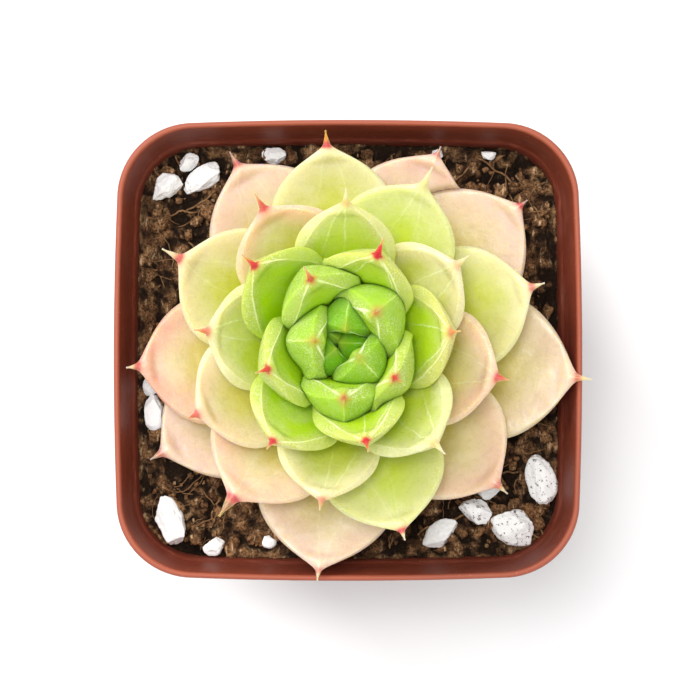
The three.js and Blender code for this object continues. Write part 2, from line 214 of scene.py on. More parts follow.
# Lines pressed into faces by the neighbours: how far each runs sideways per millimetre from the tip
IMPRINTS = {
    5: (1.1, -0.9), 6: (0.9, -1.0), 7: (0.8, -0.9), 9: (1.2, -1.0), 11: (0.5, -0.75),
    12: (0.1, 0.75), 14: (0.3, -0.8), 16: (0.0, 0.5), 17: (0.55, -0.25), 18: (-0.45, 0.1),
    19: (0.25, -0.5), 20: (0.1, 0.6), 22: (0.5, -0.4), 24: (-0.3, 0.2), 25: (-0.35, 0.1),
    26: (0.2, -0.5), 28: (-0.1, 0.5), 29: (0.35, -0.45), 33: (0.4, -0.1), 34: (-0.4, 0.5),
}


def srgb(red, green, blue):
    """A colour as seen, from 0 to 255, in the linear values that Blender mixes."""
    value = np.array((red, green, blue), float) / 255
    return np.where(value <= 0.04045, value / 12.92, ((value + 0.055) / 1.055) ** 2.4)


# Colours of a leaf's skin by how green it is: the face, the facet beside the margin, and the depth,
# which is partly its own colour and partly painted shade on pale leaves and painted light on green
# ones
FACE_RAMP = (
    (0.0, srgb(246, 222, 202)),
    (0.3, srgb(238, 220, 182)),
    (0.55, srgb(224, 222, 148)),
    (0.75, srgb(220, 234, 126)),
    (0.9, srgb(196, 226, 40)),
    (1.0, srgb(176, 216, 8)),
    (1.3, srgb(118, 186, 0)),
)
FACET_RAMP = (
    (0.0, srgb(250, 230, 218)),
    (0.3, srgb(248, 232, 208)),
    (0.6, srgb(236, 238, 190)),
    (0.8, srgb(214, 226, 140)),
    (0.95, srgb(190, 214, 92)),
    (1.05, srgb(150, 192, 56)),
    (1.3, srgb(126, 192, 12)),
)
AXIL_RAMP = (
    (0.0, srgb(226, 206, 130)),
    (0.4, srgb(218, 208, 50)),
    (0.7, srgb(210, 230, 40)),
    (0.85, srgb(204, 236, 0)),
    (1.0, srgb(184, 232, 0)),
    (1.3, srgb(104, 174, 0)),
)
SHADE = (0.84, 0.9)  # what the skin keeps of these colours: old, young
PINK = srgb(246, 172, 156)
RED = srgb(200, 40, 66)
RED_BUD = srgb(190, 78, 82)
EDGE = srgb(166, 210, 48)  # the rim of the margins in the bud: its own green, painted brighter as light shining through the gaps
EDGE_INNER = srgb(120, 186, 16)
POINT_ENDS = {28: srgb(150, 88, 44), 29: srgb(226, 120, 54)}  # withered or orange points
POINT_PINK = srgb(222, 128, 108)
POINT_CREAM = srgb(242, 214, 176)
# Pale lines: the imprints and the margins' own pale rims, with a painted highlight along the crests of
# ridge and keel
LINE = srgb(246, 250, 206)


def ramp(stops, share):
    """The colour of a ramp at this share."""
    places = [place for place, _ in stops]
    return np.array([np.interp(share, places, [color[k] for _, color in stops]) for k in range(3)])


def mix(a, b, share):
    return a + (b - a) * share


def smoothstep(value, low, high):
    """From none at the first limit to one at the second, with soft ends."""
    t = np.clip((value - low) / (high - low), 0, 1)
    return t * t * (3 - 2 * t)


def crowded(start, end, count):
    """Places across a face, closer together at its margins."""
    even = np.linspace(start, end, count)
    return (0.45 * even + 0.55 * np.sin(even * math.pi / 2))[None, :]


def stem_radius(z):
    share = min(max((z - SOIL_TOP) / STEM_HEIGHT, 0), 1)
    return mix(STEM_FOOT_RADIUS, STEM_TOP_RADIUS, share)


def bend_for(share, to):
    """The bend of an arc that ends at the steepness to and reaches this share of its length."""
    low = BEND_BACK
    high = BEND_ON * to
    for _ in range(BEND_ROUNDS):
        bend = (low + high) / 2
        divisor = LEAST_TRIED if abs(bend) < LEAST_TRIED else bend
        flat = (math.sin(to) - math.sin(to - bend)) / divisor
        if flat < share:
            low = bend
        else:
            high = bend
    return LEAST_BEND if abs(high) < LEAST_BEND else high


def loft(rings, start, end):
    """A closed surface through rings of the same count, drawn together at both ends."""
    count = len(rings[0])
    verts = [point for ring in rings for point in ring] + [start, end]
    faces = []
    for r in range(len(rings) - 1):
        for i in range(count):
            a = r * count + i
            b = r * count + (i + 1) % count
            faces.append((a, b, b + count, a + count))
    foot = len(verts) - 2
    last = foot - count
    for i in range(count):
        after = (i + 1) % count
        faces.append((foot, after, i))
        faces.append((foot + 1, last + i, last + after))
    return verts, faces


def around(top, wall, back, other_wall):
    """Joins the parts of each ring: the upper face, a margin, the back and the other margin."""
    return np.concatenate((top, wall, back, other_wall[:, ::-1]), axis=1)


class Leaf:
    """One leaf of the rosette, with the same form as its solid."""

    def __init__(self, index):
        stray, reach, self.length, self.width, self.point, steepness = LEAVES[index]
        last = len(LEAVES) - 1
        self.index = index
        self.young = 1 - index / last
        self.heading = math.radians(FIRST_AZIMUTH - DIVERGENCE * index + stray)
        root_z = LOWEST_ROOT + (last - index) * LEAF_RISE
        start = stem_radius(root_z) + GAP
        self.to = math.radians(steepness)
        self.point = self.point * mix(1, POINT_OLD, self.youth(*POINT_OLD_YOUTH))
        self.point += POINT_LONGER.get(index, 0)
        self.turn = math.radians(mix(*POINT_TURN, float(smoothstep(steepness, *POINT_TURN_STEEP))))
        point_reach = self.point / self.turn * (math.sin(self.to) - math.sin(self.to - self.turn))
        self.curl = bend_for((reach - start - point_reach) / self.length, self.to)
        self.start = self.to - self.curl
        self.root = np.array((
            STEM_X + start * math.cos(self.heading),
            STEM_Y + start * math.sin(self.heading),
            root_z,
        ))
        bud = self.youth(*BUD_YOUTH)
        grown = mix(THICKNESS[0], THICKNESS[1], self.young)
        self.thickness = self.width * mix(grown, THICKNESS[2], bud)
        self.plump = PLUMP * bud * (1 - self.youth(*INNERMOST_YOUTH))
        self.cup = mix(mix(CUP[0], CUP[1], self.young), CUP[2], bud)
        self.build()

    def youth(self, low, high):
        """From none to one as a leaf's youth passes from the first limit to the second."""
        return float(smoothstep(self.young, low, high))

    def angle(self, u):
        past = np.maximum(u - 1, 0) * self.length / self.point
        return self.start + self.curl * np.minimum(u, 1) - self.turn * past

    def place(self, u, across, height):
        bent = self.start + self.curl * np.minimum(u, 1)
        bend = self.length / self.curl
        tight = self.point / self.turn
        angle = self.angle(u)
        out = bend * (np.sin(bent) - math.sin(self.start)) - height * np.sin(angle)
        up = bend * (math.cos(self.start) - np.cos(bent)) + height * np.cos(angle)
        out = out + np.where(u > 1, tight * (math.sin(self.to) - np.sin(angle)), 0)
        up = up + np.where(u > 1, tight * (np.cos(angle) - math.cos(self.to)), 0)
        c = math.cos(self.heading)
        s = math.sin(self.heading)
        return np.stack((
            self.root[0] + c * out - s * across,
            self.root[1] + s * out + c * across,
            self.root[2] + up,
        ), axis=-1)

    def down(self, u):
        """The way from the upper face into the leaf."""
        angle = self.angle(u)
        c = math.cos(self.heading)
        s = math.sin(self.heading)
        return np.stack((np.sin(angle) * c, np.sin(angle) * s, -np.cos(angle)), axis=-1)

    def point_radius(self, u):
        """The radius of the sharp point, which fades out in the blade."""
        left = ((1 - u) * self.length + self.point) / (self.point + POINT_FOOT)
        foot = POINT_RADIUS * POINT_STOUTER.get(self.index, 1)
        return foot * np.maximum(left, POINT_LEAST) * (1 - smoothstep(left, *POINT_FOOT_FADE))

    def half_width(self, u):
        before = mix(ROOT_WIDTH, 1, np.sin(math.pi / 2 * np.minimum(u / WIDEST_AT, 1)))
        past = np.clip((u - WIDEST_AT) / (1 - WIDEST_AT), 0, 1)
        power = mix(*TIP_POWER, self.youth(*TIP_YOUTH))
        full = self.width / 2 * np.where(past > 0, 1 - past ** power, before)
        return full * (1 - DRAWN_OUT * np.exp(-((1 - u) * self.length / DRAWN_LENGTH) ** 2))

    def depth(self, u):
        before = mix(ROOT_DEPTH, 1, np.sin(math.pi / 2 * np.minimum(u / DEEPEST_AT, 1)))
        past = np.clip((u - DEEPEST_AT) / (1 - DEEPEST_AT), 0, 1)
        return self.thickness * np.where(past > 0, 1 - past ** END_POWER, before)

    def build(self):
        """Rings of points from the root to the sharp point's end, and what each point is."""
        blade_steps = max(round(self.length / STEP), LEAST_STEPS)
        blade = 1 - (1 - np.linspace(0, 1, blade_steps)) ** STEPS_TO_TIP
        point = 1 + np.linspace(0, 1, POINT_STEPS + 1)[1:] * self.point / self.length
        u = np.concatenate((blade, point))[:, None]
        spine = self.point_radius(u)
        half = self.half_width(u)
        deep = self.depth(u)
        wide = (half ** POINT_BLEND + spine ** POINT_BLEND) ** (1 / POINT_BLEND)
        tall = POINT_HEIGHT * spine
        plump = self.plump * deep
        raised = self.cup * half
        edge = raised - mix(*EDGE_DROP, smoothstep(u, *EDGE_DROP_AT)) * deep

        # An odd number, so that one column runs along the middle.
        top_count = max(round(self.width / STEP), LEAST_STEPS) // 2 * 2 + 1
        v_top = crowded(-1, 1, top_count)
        ridge_end = mix(*RIDGE_END, self.youth(*RIDGE_YOUTH))
        ridge = mix(RIDGE_ROOT, ridge_end, smoothstep(u, *RIDGE_AT))
        top_across = v_top * ridge * wide
        rise = v_top ** 2
        rolled = ROLLED * (1 - self.youth(*ROLLED_YOUTH)) * smoothstep(u, *ROLLED_AT)
        top_height = raised * rise * (1 - rolled * rise ** 2) + (plump + tall) * (1 - rise)

        t = np.linspace(0, 1, WALL_POINTS + 2)[None, 1:-1]
        bulge = mix(*WALL_BULGE, self.young)
        wall_across = mix(ridge * wide, wide, 1 - (1 - t) ** bulge)
        wall_height = mix(raised * (1 - rolled), edge, t ** bulge)

        fineness = 1 if self.index < BACK_COARSE_FROM else BACK_COARSE
        back_count = max(round(self.width / STEP * fineness), LEAST_BACK)
        v_back = crowded(1, -1, back_count)
        sharp = mix(*BACK_POWER_END, self.youth(*BACK_YOUTH))
        power = mix(BACK_POWER_ROOT, sharp, smoothstep(u, *BACK_AT))
        fall = (1 - np.abs(v_back) ** power) ** mix(*BACK_ROUND, self.young)
        body = ((deep - plump) ** POINT_BLEND + tall ** POINT_BLEND) ** (1 / POINT_BLEND)
        back_across = v_back * wide
        back_height = edge - (body + edge) * fall

        self.columns = (top_count, WALL_POINTS, back_count)
        across = around(top_across, wall_across, back_across, -wall_across)
        height = around(top_height, wall_height, back_height, wall_height)
        margin = np.ones((1, WALL_POINTS))
        self.v = around(v_top, margin, v_back, -margin)[0]
        self.u = np.broadcast_to(u, across.shape).copy()
        wall = around(np.zeros(v_top.shape), t, np.ones(v_back.shape), t)
        self.wall = np.broadcast_to(wall, across.shape).copy()
        facet = np.hypot((1 - ridge) * wide, edge - raised)
        parts = (top_across, wall_across, back_across)
        far_top, far_wall, far_back = (np.full(part.shape, FAR) for part in parts)
        to_ridge = -(1 - np.abs(v_top)) * ridge * wide
        self.ridge_gap = around(to_ridge, t * facet, far_back, t * facet)
        self.keel_gap = around(far_top, far_wall, back_across, far_wall)
        self.across = around(top_across, far_wall, far_back, far_wall)
        self.tip_gap = (1 - self.u) * self.length
        self.points = self.place(self.u, across, height)
        self.soften()

    def soften(self):
        """Small unevenness, as growth leaves it."""
        down = self.down(self.u)
        flat = self.points.reshape(-1, 3)
        swell = Vector((self.index * 7.1, 0, 0))
        ripple = Vector((0, self.index * 3.3, 0))
        lift = np.array([
            SWELL[0] * noise.noise(Vector(p) * SWELL[1] + swell)
            + RIPPLE[0] * noise.noise(Vector(p) * RIPPLE[1] + ripple)
            for p in flat
        ]).reshape(self.u.shape)
        fade = smoothstep(self.tip_gap, *UNEVEN_FROM_TIP)
        self.points = self.points - down * (lift * fade)[..., None]

    def press(self, younger):
        """Gives way where a younger leaf lies on this one."""
        down = self.down(self.u)
        shift = np.zeros(self.u.shape)
        for other in younger:
            low = other.box[0] - ABOVE
            high = other.box[1] + ABOVE
            inside = np.all((self.points > low) & (self.points < high), axis=-1)
            for i, j in zip(*np.nonzero(inside)):
                way = other.way_out(Vector(self.points[i, j]), Vector(down[i, j]))
                shift[i, j] = max(shift[i, j], way)
        if not shift.any():
            return
        top, wall, back = self.columns
        under = slice(top + wall, top + wall + back)
        v_top = self.v[:top]
        v_back = self.v[under]
        height = -np.einsum("ijk,ijk->ij", self.points, down)
        for i in range(shift.shape[0]):
            pressed = np.interp(v_back, v_top, shift[i, :top])
            spare = np.interp(v_back, v_top, height[i, :top]) - height[i, under] - LEAST_WALL
            shift[i, under] = np.maximum(pressed - np.maximum(spare, 0), 0)
        for _ in range(SPREAD_ROUNDS):
            near = np.roll(shift, 1, 1) + np.roll(shift, -1, 1) + 2 * shift
            near[1:-1] = (near[2:] + near[:-2] + 2 * near[1:-1]) / 4
            shift = np.maximum(shift, near / 4)
        self.points = self.points + down * shift[..., None]

    def way_out(self, origin, way):
        """How far a point has to go to come out under this leaf, and none if it is clear of it."""
        hit, normal, _, distance = self.tree.ray_cast(origin, way, LOOK_AHEAD)
        if normal is None:
            return 0
        if normal.dot(way) > 0:
            return distance + CLEAR
        if distance > ABOVE:
            return 0
        _, normal, _, beyond = self.tree.ray_cast(hit + way * PAST_FACE, way, LOOK_AHEAD)
        return 0 if normal is None else distance + beyond + CLEAR

    def settle(self):
        """Closes the leaf's surface, and keeps what older leaves need to make room for it."""
        blade = self.points[:-POINT_STEPS].reshape(-1, 3)
        self.box = (blade.min(axis=0), blade.max(axis=0))
        self.tree = BVHTree.FromPolygons(*self.surface(self.points[:-POINT_STEPS]))
        self.verts, self.faces = self.surface(self.points)

    @staticmethod
    def surface(points):
        """Vertices and faces of a leaf, whose rings run the other way round than those of the pot."""
        tip = points[-1].mean(axis=0)
        beyond = tip + LAST_TIP * (tip - points[-2].mean(axis=0))
        verts, faces = loft(points, points[0].mean(axis=0), beyond)
        return np.array(verts), [(face[0], *face[:0:-1]) for face in faces]

    def tint(self):
        """The leaf's colour at each point before lamps light it: its own, with painted light and shade
        at the root and in the bud's gaps.
        """
        green, blush, red, cream = LOOKS[self.index]
        tip = self.tip_gap
        in_bud = self.youth(0.7, 0.82)
        inner = self.youth(0.86, 0.95)
        spread = mix(0.42, 0.14, self.youth(0.3, 0.6)) * self.width
        facet = smoothstep(self.ridge_gap, -spread, 0.1) * smoothstep(self.u, 0.25, 0.7)
        flushed = facet * smoothstep(tip, 18, 2) + np.exp(-np.maximum(tip, 0) / 2.4)
        foot = smoothstep(tip, mix(0.75, 0.45, in_bud), mix(0.15, -0.1, in_bud))
        foot = foot * smoothstep(tip, -1.4 * self.point, -0.4 * self.point)
        color = np.broadcast_to(ramp(FACE_RAMP, green), self.u.shape + (3,)).copy()

        def paint(target, share):
            nonlocal color
            color = mix(color, target, np.clip(share, 0, 1)[..., None])

        # Painted light and shade of the axil: the root end takes the depth's colour.
        paint(ramp(AXIL_RAMP, green), smoothstep(self.u, 0.92, 0.5))
        paint(ramp(FACET_RAMP, green), mix(0.6, 0.95, self.young) * facet)
        paint(ramp(FACET_RAMP, green), 0.6 * smoothstep(tip, 6, 1))
        paint(PINK, 0.7 * blush * flushed)
        # Painted light: the walls of bud leaves, down in the gaps between them, are painted a brighter
        # green.
        paint(mix(EDGE, EDGE_INNER, inner), 0.8 * in_bud * smoothstep(self.wall, 0.4, 1.0))
        paint(POINT_PINK, (0.15 + 0.4 * min(red, 1)) * smoothstep(tip, 1.3, 0.2))
        paint(POINT_PINK, 0.7 * (1 - cream) * min(red, 1) * smoothstep(tip, 0.1, -0.3))
        paint(mix(RED, RED_BUD, in_bud), red * foot)
        paint(POINT_CREAM, cream * smoothstep(tip, -0.1, -0.5 * self.point))
        if self.index in POINT_ENDS:
            paint(POINT_ENDS[self.index], smoothstep(tip, -0.1 * self.point, -0.35 * self.point))
        return color * mix(*SHADE, self.young)

    def bloom(self):
        """How thick the pale bloom lies on each point."""
        facet = smoothstep(self.ridge_gap, -0.2 * self.width, 0.2)
        lasting = mix(mix(0.6, 1, self.youth(0.1, 0.45)), 0.2, self.youth(0.84, 0.97))
        ends = smoothstep(self.tip_gap, 0.2, 1.2) * smoothstep(self.u, 0.2, 0.8)
        return lasting * (0.25 + 0.75 * facet) * ends

    def lines(self):
        """For each point: millimetres from the ridge and the keel, and how far their pale line, partly
        a painted highlight, shows there.
        """
        show = smoothstep(self.u, 0.4, 0.8) * mix(0.06, 1, self.youth(0.35, 0.75))
        show = show * smoothstep(self.tip_gap, 0.3, 1.6)
        return np.stack((self.ridge_gap, self.keel_gap, show), axis=-1)

    def imprints(self):
        """For each point: millimetres from two lines pressed into the face, and how far they show."""
        if self.index not in IMPRINTS:
            nowhere = np.full(self.u.shape, FAR)
            return np.stack((nowhere, nowhere, np.zeros(self.u.shape)), axis=-1)
        tip = np.maximum(self.tip_gap, 0)
        gaps = []
        for slope in IMPRINTS[self.index]:
            path = slope * tip / (1 + 0.05 * tip)
            gaps.append((self.across - path) / math.hypot(1, slope))
        show = smoothstep(tip, 0.5, 1.5) * smoothstep(tip, 0.55 * self.length, 3)
        show = show * mix(0.3, 1, self.youth(0.25, 0.6))
        show = show * np.where(self.across > FACE_LINE_REACH, 0, 1)
        return np.stack((*gaps, show), axis=-1)


def preset(node, values):
    for name, value in values.items():
        node.inputs[name].default_value = value


class Material:
    """A node material with its shader, and short ways to add nodes to it."""

    def __init__(self, name, roughness, specular):
        self.material = bpy.data.materials.new(name)
        self.material.use_nodes = True
        self.tree = self.material.node_tree
        self.shader = self.tree.nodes["Principled BSDF"]
        preset(self.shader, {"Roughness": roughness, "Specular IOR Level": specular})
        self.coord = self.tree.nodes.new("ShaderNodeTexCoord").outputs["Object"]

    def link(self, output, socket):
        self.tree.links.new(output, socket)

    def noise(self, scale, detail, roughness=0.55, stretch=None):
        node = self.tree.nodes.new("ShaderNodeTexNoise")
        preset(node, {"Scale": scale, "Detail": detail, "Roughness": roughness})
        self.link(self.mapped(stretch), node.inputs["Vector"])
        return node.outputs["Fac"]

    def mapped(self, stretch):
        if stretch is None:
            return self.coord
        node = self.tree.nodes.new("ShaderNodeMapping")
        preset(node, {"Scale": stretch})
        self.link(self.coord, node.inputs["Vector"])
        return node.outputs["Vector"]

    def ranged(self, value, low, high, new_low=0.0, new_high=1.0, how="LINEAR"):
        node = self.tree.nodes.new("ShaderNodeMapRange")
        node.interpolation_type = how
        preset(node, {"From Min": low, "From Max": high, "To Min": new_low, "To Max": new_high})
        self.link(value, node.inputs["Value"])
        return node.outputs["Result"]

    def attribute(self, name, output="Color"):
        node = self.tree.nodes.new("ShaderNodeAttribute")
        node.attribute_name = name
        return node.outputs[output]

    def fill(self, socket, value):
        """Gives a socket another node's output, a number or a colour."""
        if isinstance(value, bpy.types.NodeSocket):
            self.link(value, socket)
        elif isinstance(value, (int, float)):
            socket.default_value = value
        else:
            socket.default_value = (*value, 1)

    def mixed(self, share, a, b, how="MIX"):
        node = self.tree.nodes.new("ShaderNodeMix")
        node.data_type = "RGBA"
        node.blend_type = how
        for place, value in ((0, share), (6, a), (7, b)):
            self.fill(node.inputs[place], value)
        return node.outputs[2]

    def parts(self, vector):
        """The three numbers of a vector."""
        node = self.tree.nodes.new("ShaderNodeSeparateXYZ")
        self.link(vector, node.inputs[0])
        return tuple(node.outputs)

    def times(self, a, b):
        return self.math("MULTIPLY", a, b)

    def math(self, operation, *values):
        node = self.tree.nodes.new("ShaderNodeMath")
        node.operation = operation
        for value, socket in zip(values, node.inputs):
            self.fill(socket, value)
        return node.outputs[0]

    def color(self, value):
        self.link(value, self.shader.inputs["Base Color"])

    def rough(self, value):
        self.link(value, self.shader.inputs["Roughness"])

    def bumps(self, *layers):
        """Layers of a height and its depth in millimetres."""
        normal = None
        for height, depth in layers:
            node = self.tree.nodes.new("ShaderNodeBump")
            preset(node, {"Strength": 1, "Distance": depth * MM})
            self.link(height, node.inputs["Height"])
            if normal is not None:
                self.link(normal, node.inputs["Normal"])
            normal = node.outputs["Normal"]
        self.link(normal, self.shader.inputs["Normal"])


def line_mask(m, value, width):
    """One on the line where the value is zero, and none beyond the width."""
    return m.ranged(m.math("ABSOLUTE", value), 0.25 * width, width, 1, 0, "SMOOTHSTEP")


SKIN_DEPTH = 3.0  # how deep light goes into a leaf


def leaf_material(name, gloss, pale, yellow):
    """A skin with its gloss, and how strong its pale patches and its yellow clouds are."""
    m = Material(name, 0.4, gloss)
    ridge, keel, show = m.parts(m.attribute("lines", "Vector"))
    first, second, pressed = m.parts(m.attribute("imprints", "Vector"))
    cloud = m.noise(240, 3)
    patches = m.noise(140, 4, 0.6)
    veins = m.noise(900, 3)
    fine = m.noise(1700, 2)
    grain = m.noise(4200, 2, 0.6)

    wobble = m.math("MULTIPLY_ADD", veins, 0.5, -0.25)
    # Pale lines along the ridge and the keel: partly the margin's own rim, partly a painted highlight
    # on the crest.
    margin = line_mask(m, m.math("ADD", ridge, m.times(wobble, 0.3)), 0.22)
    back = line_mask(m, m.math("ADD", keel, m.times(wobble, 1.2)), 0.17)
    edges = m.math("MAXIMUM", m.times(margin, show), m.times(m.times(back, show), 0.5))
    edges = m.times(edges, m.ranged(cloud, 0.4, 0.6, 0.25, 1.0))
    wandering = m.math("MULTIPLY_ADD", cloud, 1.6, -0.8)
    left = line_mask(m, m.math("ADD", first, wandering), 0.2)
    right = line_mask(m, m.math("ADD", second, wandering), 0.2)
    imprint = m.times(m.math("MAXIMUM", left, right), pressed)
    imprint = m.times(imprint, m.ranged(fine, 0.3, 0.65, 0.35, 1.0))
    bloom = m.times(m.ranged(grain, 0.46, 0.72, 0.0, 0.5), m.ranged(cloud, 0.36, 0.6, 0.15, 1.0))
    bloom = m.times(bloom, m.attribute("tint", "Alpha"))
    lines = m.times(m.math("MAXIMUM", edges, m.times(imprint, 0.8)), 0.8)

    yellowed = m.ranged(cloud, 0.32, 0.7, 0.0, yellow)
    color = m.mixed(yellowed, m.attribute("tint"), srgb(232, 226, 140), "MULTIPLY")
    color = m.mixed(m.ranged(patches, 0.46, 0.7, 0.0, pale), color, srgb(252, 246, 220))
    color = m.mixed(bloom, color, srgb(246, 248, 224))
    m.color(m.mixed(lines, color, LINE))
    m.rough(m.ranged(veins, 0.3, 0.7, 0.22, 0.36))
    preset(m.shader, {
        "Subsurface Weight": 0.75,
        "Subsurface Radius": (1.0, 0.9, 0.12),
        "Subsurface Scale": SKIN_DEPTH * MM,
    })
    m.bumps((cloud, 0.2), (edges, 0.05), (imprint, 0.04), (veins, 0.03), (grain, 0.02))
    return m.material


def pot_material():
    m = Material("moulded_plastic", 0.38, 0.3)
    _, _, height = m.parts(m.coord)
    cloud = m.noise(60, 4)
    streak = m.noise(420, 3, stretch=(1, 1, 9))
    wipe = m.noise(90, 4, 0.6, stretch=(0.25, 1, 3))
    speck = m.noise(2600, 2)
    # Painted shade: the wall darkens from the rim down towards the soil.
    shade_under_rim = m.ranged(height, 54.5 * MM, 61.5 * MM, 0.75, 0.0)
    # Painted highlight: the top of the rim is lighter.
    highlight_on_rim = m.ranged(height, 61.4 * MM, 61.9 * MM, 0.0, 0.75)
    color = m.mixed(m.ranged(cloud, 0.3, 0.7), srgb(120, 52, 35), srgb(136, 63, 44))
    color = m.mixed(shade_under_rim, color, srgb(96, 40, 26))
    color = m.mixed(highlight_on_rim, color, srgb(176, 94, 70))
    color = m.mixed(m.ranged(streak, 0.5, 0.8, 0.0, 0.35), color, srgb(170, 96, 76))
    color = m.mixed(m.ranged(wipe, 0.55, 0.8, 0.0, 0.1), color, srgb(196, 150, 136))
    m.color(m.mixed(m.ranged(speck, 0.68, 0.78, 0.0, 0.6), color, srgb(206, 150, 130)))
    m.rough(m.ranged(streak, 0.3, 0.8, 0.44, 0.6))
    m.bumps((cloud, 0.1), (streak, 0.03), (speck, 0.01))
    return m.material


def soil_material():
    m = Material("peat", 0.9, 0.15)
    clump = m.noise(360, 5, 0.7)
    patch = m.noise(130, 3)
    grain = m.noise(2600, 4, 0.75)
    shred = m.noise(1500, 3, 0.6, stretch=(1, 0.25, 1))
    depth = m.attribute("depth", "Fac")
    color = m.mixed(m.ranged(clump, 0.36, 0.66), srgb(84, 56, 36), srgb(196, 148, 102))
    color = m.mixed(m.ranged(patch, 0.45, 0.7, 0.0, 0.5), color, srgb(148, 98, 60))
    color = m.mixed(m.ranged(grain, 0.42, 0.62, 0.0, 0.9), color, srgb(34, 21, 13))
    color = m.mixed(m.ranged(shred, 0.58, 0.68, 0.0, 0.85), color, srgb(222, 186, 142))
    # Painted shade: the hollows and low places of the ground and the feet of crumbs are darker.
    m.color(m.mixed(m.ranged(depth, 0.2, 0.8, 0.95, 0.0), color, srgb(22, 13, 8)))
    m.bumps((clump, 0.5), (grain, 0.2), (shred, 0.1))
    return m.material


def fibre_material():
    m = Material("fibre", 0.8, 0.3)
    grain = m.noise(1500, 3)
    m.color(m.mixed(m.ranged(grain, 0.3, 0.7), srgb(96, 66, 40), srgb(156, 118, 78)))
    m.bumps((grain, 0.03))
    return m.material


def perlite_material(name, dark):
    m = Material(name, 0.9, 0.2)
    pore = m.noise(1500, 4, 0.7)
    grain = m.noise(5200, 3)
    speck = m.noise(1500, 4, 0.75)
    color = m.mixed(m.ranged(pore, 0.35, 0.6), srgb(252, 254, 250), srgb(255, 255, 255))
    m.color(m.mixed(m.ranged(speck, 0.57, 0.62, 0.0, dark), color, srgb(70, 56, 44)))
    m.bumps((pore, 0.12), (grain, 0.03))
    return m.material


def stem_material():
    m = Material("stem_skin", 0.6, 0.4)
    ring = m.noise(900, 3, stretch=(0.3, 0.3, 2.5))
    m.color(m.mixed(m.ranged(ring, 0.35, 0.7), srgb(120, 132, 40), srgb(176, 150, 96)))
    m.bumps((ring, 0.15))
    return m.material


def floor_material():
    m = Material("studio_floor", 0.7, 0.3)
    cloud = m.noise(12, 3)
    m.color(m.mixed(m.ranged(cloud, 0.3, 0.7), srgb(251, 251, 251), srgb(253, 253, 253)))
    return m.material


def placed(name, data):
    made = bpy.data.objects.new(name, data)
    bpy.context.scene.collection.objects.link(made)
    return made


def new_object(name, verts, faces, materials, slots=None):
    mesh = bpy.data.meshes.new(name)
    mesh.from_pydata([tuple(p) for p in np.asarray(verts) * MM], [], [tuple(f) for f in faces])
    for material in materials:
        mesh.materials.append(material)
    mesh.polygons.foreach_set("use_smooth", [True] * len(mesh.polygons))
    if slots is not None:
        mesh.polygons.foreach_set("material_index", slots)
    mesh.update()
    return placed(name, mesh)


def add_layer(made, name, kind, field, values):
    """Gives each vertex its own values under a name that a material reads."""
    layer = made.data.attributes.new(name, kind, "POINT")
    layer.data.foreach_set(field, values.astype(np.float32).ravel())


def stands_for(made, node):
    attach(made, "root")
    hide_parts(node)


def numbered(name, index):
    return f"{name}_{index + 1:02d}"


def with_ends(values):
    """The values of all rings, and of the two points that close the first and the last ring."""
    flat = values.reshape(-1, 3)
    return np.vstack((flat, flat[:1], flat[-1:]))


def add_leaves():
    young_skin = leaf_material("young_skin", 0.15, 0.06, 0.45)
    old_skin = leaf_material("old_skin", 0.5, 0.28, 0.18)
    grown = []
    for index in range(len(LEAVES)):
        leaf = Leaf(index)
        leaf.press(grown)
        leaf.settle()
        grown.append(leaf)
        node = numbered("leaf", index)
        skin = young_skin if index < OLD_FROM else old_skin
        made = new_object("fine_" + node, leaf.verts, leaf.faces, [skin])
        bloom = np.concatenate((leaf.bloom().ravel(), (0, 0)))[:, None]
        add_layer(made, "lines", "FLOAT_VECTOR", "vector", with_ends(leaf.lines()))
        add_layer(made, "imprints", "FLOAT_VECTOR", "vector", with_ends(leaf.imprints()))
        add_layer(made, "tint", "FLOAT_COLOR", "color", np.hstack((with_ends(leaf.tint()), bloom)))
        stands_for(made, node)


# Pot, as in the solids: height, half the side, radius of the corners
POT_SECTIONS = [
    (0, 24.0, 8.0), (0.15, 24.75, 8.4), (0.6, 25.35, 8.6), (1.4, 25.68, 8.8), (10, 26.8, 9.1),
    (20, 28.1, 9.6), (30, 29.4, 10.0), (40, 30.7, 10.5), (51.2, 32.15, 10.9), (51.55, 32.3, 10.9),
    (51.8, 32.75, 11.0), (52.1, 33.15, 11.15), (52.5, 33.33, 11.2), (57, 33.85, 11.3),
    (61, 34.3, 11.4), (61.6, 34.36, 11.4), (61.9, 34.2, 11.3), (62, 33.95, 11.2),
    (61.94, 33.72, 11.1), (61.7, 33.55, 11.0), (61.2, 33.42, 10.9), (58, 32.85, 10.5),
    (55.15, 32.35, 10.1), (54.95, 32.2, 10.0), (54.75, 31.95, 9.8), (54.5, 31.8, 9.6),
    (50, 31.2, 9.5), (40, 29.8, 9.2), (20, 27.2, 8.5), (2.6, 25, 7.8), (1.8, 24.6, 7.6),
    (1.6, 24, 7.2),
]
INSIDE_FROM = 20  # the first section inside, under the rounded rim
POT_FLOOR = 1.6
POT_BOW = 0.45  # how far a side bows outwards at the rim
POT_LENGTHEN = 1.008
SIDE_STEPS = 20
CORNER_STEPS = 18
DRAIN_RADIUS = 2.8
DRAIN_PLACE = 13.0
DRAIN_CUT = 6.0
DRAIN_SIDES = 32


